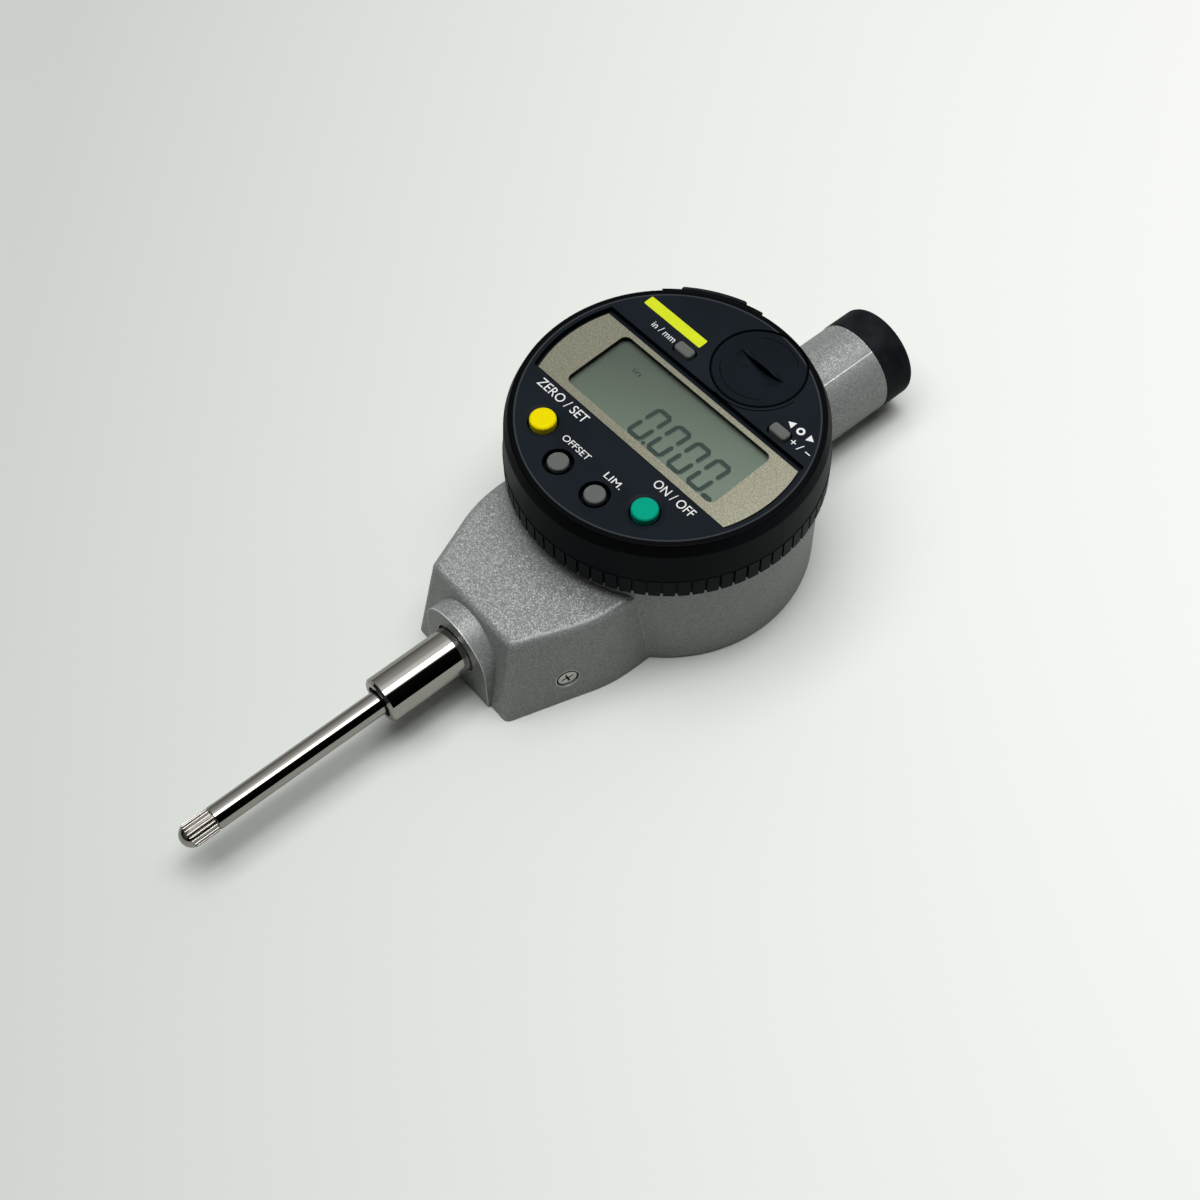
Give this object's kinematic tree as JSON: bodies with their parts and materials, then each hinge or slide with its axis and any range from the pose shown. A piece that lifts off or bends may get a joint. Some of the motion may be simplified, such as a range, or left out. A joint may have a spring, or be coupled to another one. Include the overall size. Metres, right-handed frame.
{
  "type": "digital indicator",
  "caption": "Round digital indicator with a turning display head, a sprung measuring spindle in a clamping stem, push buttons, a coin battery cap and a capped tube.",
  "frame": {"origin": "centre of the flat back, on the display's turning axis", "axes": "+Z leaves the display face, +Y runs along the spindle towards the capped tube, -Y towards the contact point, +X to the right of the display"},
  "size_m": [0.0628, 0.1742, 0.0406],
  "materials": {
    "cast_paint": "metallic paint with a fine sparkle",
    "dark_shell": "satin navy black",
    "black_rubber": "matt",
    "trim_beige": "satin champagne",
    "window_clear": "clear",
    "display_glass": "grey green, satin",
    "chrome_steel": "polished",
    "zinc_screw": "bright zinc",
    "steel_part": "plain",
    "bronze": "turned",
    "rail_steel": "ground",
    "carrier_alloy": "milled",
    "scale_glass": "etched",
    "board_green": "solder mask",
    "black_part": "moulded",
    "strip_amber": "film",
    "contact_spring": "plated",
    "key_yellow": "satin",
    "key_green": "satin",
    "key_grey": "satin"
  },
  "bodies": {
    "housing": {"main_housing": "cast_paint", "rear_cover": "cast_paint", "rear_gasket": "black_rubber", "rear_cover_screws": "zinc_screw", "side_screw": "zinc_screw", "stem": "chrome_steel", "lower_bush": "bronze", "spindle_wiper": "black_rubber", "lower_bumper": "black_rubber", "upper_bush": "bronze", "upper_bumper": "black_rubber", "guide_rail": "rail_steel", "guide_rail_screws": "zinc_screw", "spring_anchor": "steel_part", "return_spring": "steel_part", "reader_board": "board_green", "reader_head": "black_part", "reader_board_screws": "zinc_screw", "flex_strip": "strip_amber", "retaining_plate": "steel_part", "retaining_plate_screws": "zinc_screw", "friction_washer": "steel_part", "neck_seal": "black_rubber"},
    "spindle": {"spindle": "chrome_steel", "contact_point": "chrome_steel", "scale_carrier": "carrier_alloy", "carrier_clamp_screw": "zinc_screw", "encoder_scale": "scale_glass", "guide_pin": "steel_part", "spindle_stop_ring": "steel_part"},
    "display_head": {"grip_ring": "dark_shell", "turn_stop_pin": "steel_part", "front_bezel": "dark_shell", "bezel_screws": "zinc_screw", "window_trim": "trim_beige", "window_lens": "window_clear", "lcd_panel": "display_glass", "lcd_holder": "black_part", "zebra_strips": "black_rubber", "main_board": "board_green", "main_board_screws": "zinc_screw", "display_chip": "black_part", "key_switches": "black_part", "output_socket": "black_part", "battery": "steel_part", "battery_minus_contact": "contact_spring", "battery_plus_contact": "contact_spring"},
    "battery_cap_seal": {"battery_cap_seal": "black_rubber"},
    "battery_cap": {"battery_cap": "dark_shell"},
    "output_cover": {"output_cover": "black_rubber"},
    "tube_cap": {"tube_cap": "black_rubber"},
    "zero_button": {"zero_button": "key_yellow"},
    "power_button": {"power_button": "key_green"},
    "preset_button": {"preset_button": "key_grey"},
    "limit_button": {"limit_button": "key_grey"},
    "unit_button": {"unit_button": "key_grey"},
    "sign_button": {"sign_button": "key_grey"}
  },
  "joints": [
    {"name": "spindle_slide", "type": "slide", "parent": "housing", "child": "spindle", "axis": [0, 1, 0], "range_m": [0, 0.0254], "stiffness_N_per_m": 30, "springref_m": -0.035, "deforming": ["return_spring"]},
    {"name": "display_turn", "type": "hinge", "parent": "housing", "child": "display_head", "pos_m": [0, 0, 0.0252], "axis": [0, 0, 1], "range_deg": [-167.5, 162.5]},
    {"name": "battery_cap_lift", "type": "slide", "parent": "display_head", "child": "battery_cap_seal", "axis": [0, 0, 1], "range_m": [0, 0.002]},
    {"name": "battery_cap_turn", "type": "hinge", "parent": "battery_cap_seal", "child": "battery_cap", "pos_m": [0.00328, 0.02011, 0.038], "axis": [0, 0, 1], "range_deg": [0, 720]},
    {"name": "output_cover_pull", "type": "slide", "parent": "display_head", "child": "output_cover", "axis": [-0.5296, 0.8482, 0], "range_m": [0, 0.01]},
    {"name": "tube_cap_pull", "type": "slide", "parent": "housing", "child": "tube_cap", "axis": [0, 1, 0], "range_m": [0, 0.015]},
    {"name": "zero_press", "type": "slide", "parent": "display_head", "child": "zero_button", "axis": [0, 0, -1], "range_m": [0, 0.0004], "stiffness_N_per_m": 400, "springref_m": -0.0005},
    {"name": "power_press", "type": "slide", "parent": "display_head", "child": "power_button", "axis": [0, 0, -1], "range_m": [0, 0.0004], "stiffness_N_per_m": 400, "springref_m": -0.0005},
    {"name": "preset_press", "type": "slide", "parent": "display_head", "child": "preset_button", "axis": [0, 0, -1], "range_m": [0, 0.0004], "stiffness_N_per_m": 400, "springref_m": -0.0005},
    {"name": "limit_press", "type": "slide", "parent": "display_head", "child": "limit_button", "axis": [0, 0, -1], "range_m": [0, 0.0004], "stiffness_N_per_m": 400, "springref_m": -0.0005},
    {"name": "unit_press", "type": "slide", "parent": "display_head", "child": "unit_button", "axis": [0, 0, -1], "range_m": [0, 0.0004], "stiffness_N_per_m": 400, "springref_m": -0.0005},
    {"name": "sign_press", "type": "slide", "parent": "display_head", "child": "sign_button", "axis": [0, 0, -1], "range_m": [0, 0.0004], "stiffness_N_per_m": 400, "springref_m": -0.0005}
  ],
  "couplings": [
    {"joint": "battery_cap_turn", "follows": "battery_cap_lift", "rad_per_m": 6283.2}
  ]
}
